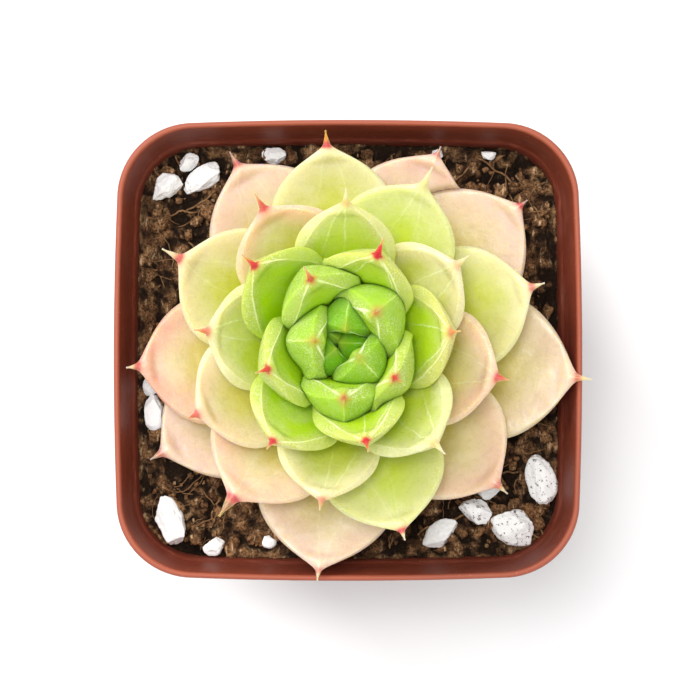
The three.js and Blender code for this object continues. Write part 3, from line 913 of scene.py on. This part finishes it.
def pot_outline(z, half, corner, shrink=0.0):
    """A square with round corners and slightly bowed sides, at one height."""
    side = half - shrink
    radius = max(corner - shrink, 1)
    straight = side - radius
    places = [(side, straight * (2 * k / SIDE_STEPS - 1)) for k in range(SIDE_STEPS)]
    turns = [math.pi / 2 * k / CORNER_STEPS for k in range(CORNER_STEPS)]
    places += [(straight + radius * math.cos(a), straight + radius * math.sin(a)) for a in turns]
    points = []
    for quarter in range(4):
        c = math.cos(math.pi / 2 * quarter)
        s = math.sin(math.pi / 2 * quarter)
        for x, y in places:
            out = x + POT_BOW * z / RIM_HEIGHT * max(0, 1 - (y / straight) ** 2)
            points.append(((c * out - s * y) * POT_LENGTHEN, (s * out + c * y) / POT_LENGTHEN, z))
    return points


def add_pot():
    rings = [pot_outline(*section) for section in POT_SECTIONS]
    verts, faces = loft(rings, (0, 0, 0), (0, 0, POT_FLOOR))
    pot = new_object("fine_pot", verts, faces, [pot_material()])
    for right in (-1, 1):
        for beyond in (-1, 1):
            bpy.ops.mesh.primitive_cylinder_add(
                vertices=DRAIN_SIDES, radius=DRAIN_RADIUS * MM, depth=DRAIN_CUT * MM,
                location=(right * DRAIN_PLACE * MM, beyond * DRAIN_PLACE * MM, 0))
            cutter = bpy.context.object
            cut = pot.modifiers.new("drain", "BOOLEAN")
            cut.object = cutter
            cut.solver = "EXACT"
            view = bpy.context.evaluated_depsgraph_get()
            mesh = bpy.data.meshes.new_from_object(pot.evaluated_get(view))
            pot.modifiers.clear()
            pot.data = mesh
            bpy.data.objects.remove(cutter)
    stands_for(pot, "pot")


SOIL_ANGLES = 460
SOIL_RINGS = 72
SOIL_RINGS_TO = 0.6  # the fine rings take this share of the way from the wall to the stem
INNER_RINGS = (0.38, 0.18, 12)  # first and last share of the way to the wall, and how many
SOIL_TO_POT = 0.05
SOIL_LOWER = 0.1
SOIL_FOOT = 1.9
SOIL_PLAIN_HEIGHTS = (SOIL_FOOT, 2.9, SOIL_TOP - 6, SOIL_TOP - 2)
GROUND = (0.5, 0.11)  # height and how fast it changes
WARP = (0.8, 0.5)
# Crumbs of the ground: height, level that counts as none, cells per millimetre, start of the pattern
CRUMB_LAYERS = (
    (1.25, 0.45, 0.42, (0, 0, 0)),
    (0.75, 0.4, 0.95, (5, 1, 0)),
    (0.32, 0.4, 2.1, (1, 8, 0)),
)
HOLLOWS_DEEPER = 1.6
RELIEF = (-0.9, 1.5)  # the height that is darkest, and how much higher it is lightest, for the painted shade of the ground's hollows
LOOSE_CRUMBS = 760
CRUMB_SIZES = (0.3, 0.35, 0.45, 0.55, 0.7, 0.9, 1.3)
CRUMB_STRETCH = ((0.7, 1.3), (0.6, 1.0), (0.5, 0.8))
CRUMB_LUMPS = (0.9, 1.9)
CRUMB_LIFT = 0.15  # its middle over the ground, for its size
CRUMB_RELIEF = (0.35, 0.4)  # its relief for the painted shade: at its middle, and how much more at its top
FINER_CRUMB_FROM = 0.7
FIBRES = 170
FIBRE_RADII = (0.06, 0.08, 0.1, 0.16)
FIBRE_LENGTHS = (2, 8)
FIBRE_OVER = 0.1  # over the ground
FIBRE_ARCH = (0.1, 0.4)  # how much further its middle is up
FIBRE_TURN = 0.45
FIBRE_RELIEF = 0.4
FIBRE_SIDES = 5
FIBRE_STEPS = 8
FIBRE_LIMIT = 30  # a fibre that comes this far out turns back
LOOSE_PLACES = (0.5, 0.965)  # shares of the way from the stem to the wall


def soil_outline(z, clear):
    """The pot's inside at one height, with a gap to its wall."""
    inside = sorted(POT_SECTIONS[INSIDE_FROM:])
    heights = [section[0] for section in inside]
    half = np.interp(z, heights, [section[1] for section in inside])
    corner = np.interp(z, heights, [section[2] for section in inside])
    return np.array(pot_outline(z, half, corner, clear))


def resampled(outline):
    """The same closed outline with as many points as each ring of the soil has."""
    places = np.linspace(0, 1, SOIL_ANGLES, endpoint=False) * len(outline)
    closed = np.vstack((outline, outline[:1]))
    known = range(len(closed))
    return np.stack([np.interp(places, known, closed[:, k]) for k in range(3)], axis=-1)


def soil_height(x, y):
    """Crumbs of three sizes on gentle ground, in millimetres over the soil's level."""
    p = Vector((x, y, 0))
    height = GROUND[0] * noise.noise(p * GROUND[1] + Vector((3, 7, 1)))
    warp_x = noise.noise(p * WARP[1])
    warp_y = noise.noise(p * WARP[1] + Vector((9, 4, 2)))
    warp = Vector((warp_x, warp_y, 0)) * WARP[0]
    for tall, level, fineness, start in CRUMB_LAYERS:
        height += tall * (level - noise.voronoi((p + warp) * fineness + Vector(start))[0][0])
    return height if height > 0 else HOLLOWS_DEEPER * height


def add_soil():
    edge = resampled(soil_outline(SOIL_TOP, SOIL_TO_POT))
    centre = np.array((STEM_X, STEM_Y, SOIL_TOP))
    shares = np.concatenate((1 - np.linspace(0, SOIL_RINGS_TO, SOIL_RINGS), np.linspace(*INNER_RINGS)))
    rings = [resampled(soil_outline(z, GAP)) for z in SOIL_PLAIN_HEIGHTS]
    depth = [-1.0] * (len(rings) * SOIL_ANGLES)
    for share in shares:
        ring = []
        for x, y, _ in mix(centre, edge, share):
            height = float(soil_height(x, y))
            depth.append(height)
            ring.append((x, y, SOIL_TOP + height - SOIL_LOWER))
        rings.append(ring)
    verts, faces = loft(rings, (0, 0, SOIL_FOOT), (STEM_X, STEM_Y, SOIL_TOP - 1))
    depth += [-1.0, -1.0]
    slots = [0] * len(faces)
    rng = random.Random(SEED)
    for count, add_loose in ((LOOSE_CRUMBS, add_crumb), (FIBRES, add_fibre)):
        for _ in range(count):
            wall = edge[rng.randrange(len(edge))]
            place = mix(centre, wall, rng.uniform(*LOOSE_PLACES))
            add_loose(verts, faces, slots, depth, place, rng)
    soil = new_object("fine_soil", verts, faces, [soil_material(), fibre_material()], slots)
    # The relief as a share, which the peat's painted shade in the hollows reads
    values = np.clip((np.array(depth) - RELIEF[0]) / RELIEF[1], 0, 1)
    add_layer(soil, "depth", "FLOAT", "value", values)
    stands_for(soil, "soil")


def add_crumb(verts, faces, slots, depth, place, rng):
    """A loose, lumpy crumb, half sunk in the ground."""
    size = rng.choice(CRUMB_SIZES)
    made = bmesh.new()
    bmesh.ops.create_icosphere(made, subdivisions=2 if size > FINER_CRUMB_FROM else 1, radius=1)
    stretch = Vector([rng.uniform(*limits) for limits in CRUMB_STRETCH]) * size
    turn = rng.uniform(0, math.tau)
    seed = Vector((rng.uniform(0, 50), rng.uniform(0, 50), 0))
    x, y, _ = place
    level = SOIL_TOP + float(soil_height(x, y)) + CRUMB_LIFT * size
    first = len(verts)
    for v in made.verts:
        p = v.co * (1 + CRUMB_LUMPS[0] * noise.noise(v.co * CRUMB_LUMPS[1] + seed))
        p = Vector((p.x * stretch.x, p.y * stretch.y, p.z * stretch.z))
        verts.append((
            x + p.x * math.cos(turn) - p.y * math.sin(turn),
            y + p.x * math.sin(turn) + p.y * math.cos(turn),
            level + p.z,
        ))
        depth.append(CRUMB_RELIEF[0] + CRUMB_RELIEF[1] * p.z / size)
    for f in made.faces:
        faces.append(tuple(first + v.index for v in f.verts))
        slots.append(0)
    made.free()


def add_fibre(verts, faces, slots, depth, place, rng):
    """A thin fibre that wanders over the ground."""
    length = rng.uniform(*FIBRE_LENGTHS)
    radius = rng.choice(FIBRE_RADII)
    turn = rng.uniform(0, math.tau)
    x, y, _ = place
    first = len(verts)
    for k in range(FIBRE_STEPS + 1):
        lift = math.sin(math.pi * k / FIBRE_STEPS) * rng.uniform(*FIBRE_ARCH)
        middle = Vector((x, y, SOIL_TOP + float(soil_height(x, y)) + FIBRE_OVER + lift))
        side = Vector((-math.sin(turn), math.cos(turn), 0))
        for s in range(FIBRE_SIDES):
            a = math.tau * s / FIBRE_SIDES
            up = Vector((0, 0, radius * math.sin(a)))
            verts.append(tuple(middle + side * (radius * math.cos(a)) + up))
            depth.append(FIBRE_RELIEF)
        turn += rng.uniform(-FIBRE_TURN, FIBRE_TURN)
        x += length / FIBRE_STEPS * math.cos(turn)
        y += length / FIBRE_STEPS * math.sin(turn)
        if max(abs(x), abs(y)) > FIBRE_LIMIT:
            turn = math.atan2(-y, -x)
    for k in range(FIBRE_STEPS):
        for s in range(FIBRE_SIDES):
            a = first + k * FIBRE_SIDES + s
            b = first + k * FIBRE_SIDES + (s + 1) % FIBRE_SIDES
            faces.append((a, b, b + FIBRE_SIDES, a + FIBRE_SIDES))
            slots.append(1)
    faces.append(tuple(first + s for s in reversed(range(FIBRE_SIDES))))
    faces.append(tuple(first + FIBRE_STEPS * FIBRE_SIDES + s for s in range(FIBRE_SIDES)))
    slots.extend((1, 1))


# Grains of perlite: length, width, turn in degrees. The solids say where they lie.
GRAINS = [
    (5, 3.6, 45), (3.4, 2.2, 35), (6.4, 3.2, 36), (3.2, 2.6, 0), (1.6, 1.6, 0), (2.2, 1.4, 0),
    (2.8, 2, 90), (4.8, 3.2, 100), (7, 4.4, 112), (3, 2.4, 20), (2, 1.8, 0), (6.4, 4.2, 100),
    (4.8, 3.6, 150), (4, 2.4, 20), (5.2, 3.2, 35), (6.6, 5, 160),
]
SPECKED = (11, 12, 15)
GRAIN_HEIGHT = 0.75
GRAIN_CUTS = 16
GRAIN_KEEPS = (0.72, 0.95)  # how far from the middle a facet lies
GRAIN_MOST = 1.1
GRAIN_LUMPS = (0.05, 2.1)
GRAIN_PITS = (0.09, 2.9, 0.4)  # depth, fineness, level that counts as none
GRAIN_GRIT = (0.02, 9)


def broken_ball(index):
    """Points and faces of a ball of radius one with flat facets and small pits."""
    made = bmesh.new()
    bmesh.ops.create_icosphere(made, subdivisions=5, radius=1)
    seed = Vector((index * 3.7, index * 1.9, 0))
    rng = random.Random(SEED + index)
    cuts = []
    for _ in range(GRAIN_CUTS):
        way = Vector((rng.gauss(0, 1), rng.gauss(0, 1), rng.gauss(0, 1))).normalized()
        cuts.append((way, rng.uniform(*GRAIN_KEEPS)))
    points = []
    for v in made.verts:
        away = min(keep / max(v.co.dot(way), 0.01) for way, keep in cuts)
        lump = 1 + GRAIN_LUMPS[0] * noise.noise(v.co * GRAIN_LUMPS[1] + seed)
        size = GRAIN_MOST * min(away, GRAIN_MOST) * lump
        pit = GRAIN_PITS[0] * (noise.voronoi(v.co * GRAIN_PITS[1] + seed)[0][0] - GRAIN_PITS[2])
        grit = GRAIN_GRIT[0] * noise.noise(v.co * GRAIN_GRIT[1] + seed)
        points.append(v.co * (size - pit + grit))
    faces = [tuple(v.index for v in f.verts) for f in made.faces]
    made.free()
    return points, faces


def add_grains():
    plain = perlite_material("perlite", 0.0)
    specked = perlite_material("specked_perlite", 0.9)
    for index, (long, wide, turn) in enumerate(GRAINS):
        node = numbered("perlite", index)
        low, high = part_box(node)
        middle = (np.array(low) + np.array(high)) / 2 / MM
        c = math.cos(math.radians(turn))
        s = math.sin(math.radians(turn))
        points, faces = broken_ball(index)
        verts = []
        for p in points:
            x = p.x * long / 2
            y = p.y * wide / 2
            up = p.z * wide / 2 * GRAIN_HEIGHT
            verts.append((middle[0] + x * c - y * s, middle[1] + x * s + y * c, middle[2] + up))
        grain = new_object("fine_" + node, verts, faces, [specked if index in SPECKED else plain])
        stands_for(grain, node)


ROOT_LENGTH = 26.0
STEM_CAP = 0.8
STEM_SIDES = 40
STEM_RINGS = 90
STEM_UNEVEN = 0.12
# Height over the soil's level and radius, upwards
STEM_PROFILE = [
    (-ROOT_LENGTH, 0.2), (-25.4, 1.1), (-13, 2.5), (-2, STEM_FOOT_RADIUS), (0, STEM_FOOT_RADIUS),
    (STEM_HEIGHT, STEM_TOP_RADIUS), (STEM_HEIGHT + STEM_CAP, 0.2),
]


def add_stem():
    rings = []
    for z in np.linspace(-ROOT_LENGTH, STEM_HEIGHT + STEM_CAP, STEM_RINGS):
        smooth_radius = np.interp(z, *zip(*STEM_PROFILE))
        ring = []
        for k in range(STEM_SIDES):
            a = math.tau * k / STEM_SIDES
            place = Vector((math.cos(a) * 2, math.sin(a) * 2, z * 0.8))
            radius = smooth_radius + STEM_UNEVEN * noise.noise(place)
            ring.append((STEM_X + radius * math.cos(a), STEM_Y + radius * math.sin(a), SOIL_TOP + z))
        rings.append(ring)
    foot = (STEM_X, STEM_Y, SOIL_TOP - ROOT_LENGTH)
    top = (STEM_X, STEM_Y, SOIL_TOP + STEM_HEIGHT + STEM_CAP)
    verts, faces = loft(rings, foot, top)
    stem = new_object("fine_stem", verts, faces, [stem_material()])
    stands_for(stem, "stem")


def add_floor():
    size = 900
    corners = [(-size, -size, 0), (size, -size, 0), (size, size, 0), (-size, size, 0)]
    floor = new_object("floor", corners, [(0, 1, 2, 3)], [floor_material()])


LIGHT_TARGET = (0, 0, 60)
WORLD_STRENGTH = 0.85


def add_light(name, power, size, place, color=(1, 1, 1)):
    """A square lamp: its power in watts, its side and its place in millimetres."""
    data = bpy.data.lights.new(name, "AREA")
    data.energy = power
    data.size = size * MM
    data.color = color
    lamp = placed(name, data)
    lamp.location = Vector(place) * MM
    lamp.rotation_euler = (Vector(LIGHT_TARGET) - Vector(place)).to_track_quat("-Z", "Y").to_euler()


def add_lights():
    world = bpy.data.worlds.new("studio")
    world.use_nodes = True
    background = world.node_tree.nodes["Background"]
    preset(background, {"Color": (1, 1, 1, 1), "Strength": WORLD_STRENGTH})
    bpy.context.scene.world = world
    add_light("window", 1.6, 260, (-300, 300, 420), color=(1, 0.99, 0.97))
    add_light("overhead", 1.5, 140, (-60, 60, 640))


def add_camera():
    data = bpy.data.cameras.new("camera")
    data.sensor_width = SENSOR
    data.lens = SENSOR * CAMERA_DISTANCE / (PHOTO_SIZE * MM_PER_PIXEL)
    data.shift_x = (PHOTO_SIZE / 2 - RIM_CENTRE_PIXEL[0]) / PHOTO_SIZE
    data.shift_y = (RIM_CENTRE_PIXEL[1] - PHOTO_SIZE / 2) / PHOTO_SIZE
    camera = placed("camera", data)
    camera.location = Vector((
        0,
        -CAMERA_DISTANCE * math.sin(CAMERA_TILT),
        RIM_HEIGHT + CAMERA_DISTANCE * math.cos(CAMERA_TILT),
    )) * MM
    camera.rotation_euler = (CAMERA_TILT, 0, 0)
    bpy.context.scene.camera = camera


add_camera()
add_lights()
add_floor()
add_pot()
add_soil()
add_stem()
add_grains()
add_leaves()
bpy.context.scene.view_settings.view_transform = "Standard"
